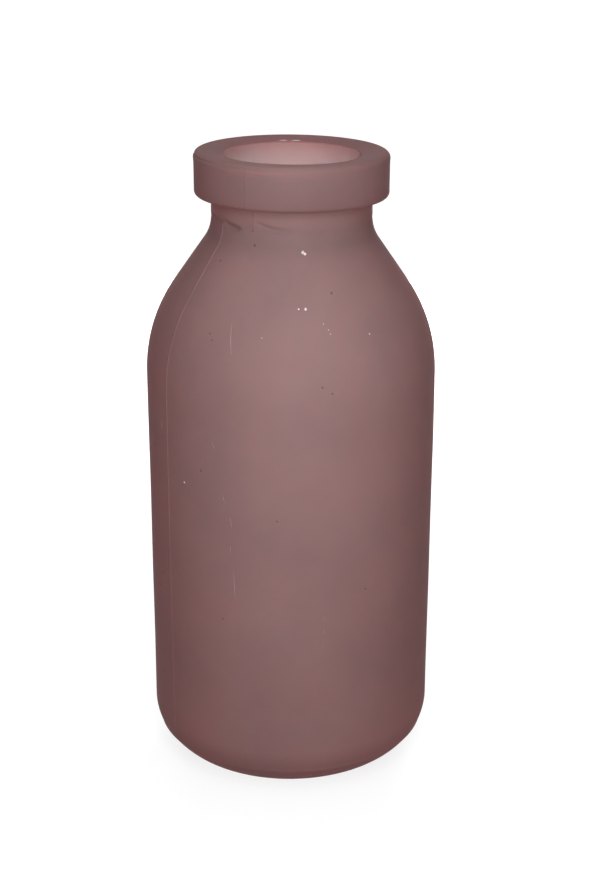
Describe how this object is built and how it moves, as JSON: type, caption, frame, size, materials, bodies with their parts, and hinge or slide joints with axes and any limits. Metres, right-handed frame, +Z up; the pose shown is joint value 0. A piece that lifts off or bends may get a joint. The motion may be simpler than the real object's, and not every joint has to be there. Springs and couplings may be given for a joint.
{
  "type": "glass milk bottle",
  "caption": "Small round milk bottle of moulded glass with a frosted rose coat, a thick cap ring round its open mouth, a sloping shoulder and a pushed-up base.",
  "frame": {"origin": "centre of the bearing ring that the bottle stands on", "axes": "+Z up along the bottle's axis, out of its mouth; X and Y are alike, because the bottle is round"},
  "size_m": [0.0644, 0.0644, 0.1398],
  "materials": {
    "clear_glass": "colourless, with a satin inside, seen through the mouth and under the base",
    "rose_coat": "thin frosted coat, satin and translucent, dusty rose"
  },
  "bodies": {
    "root": {"glass_bottle": "clear_glass", "frosted_coat": "rose_coat"}
  },
  "joints": []
}
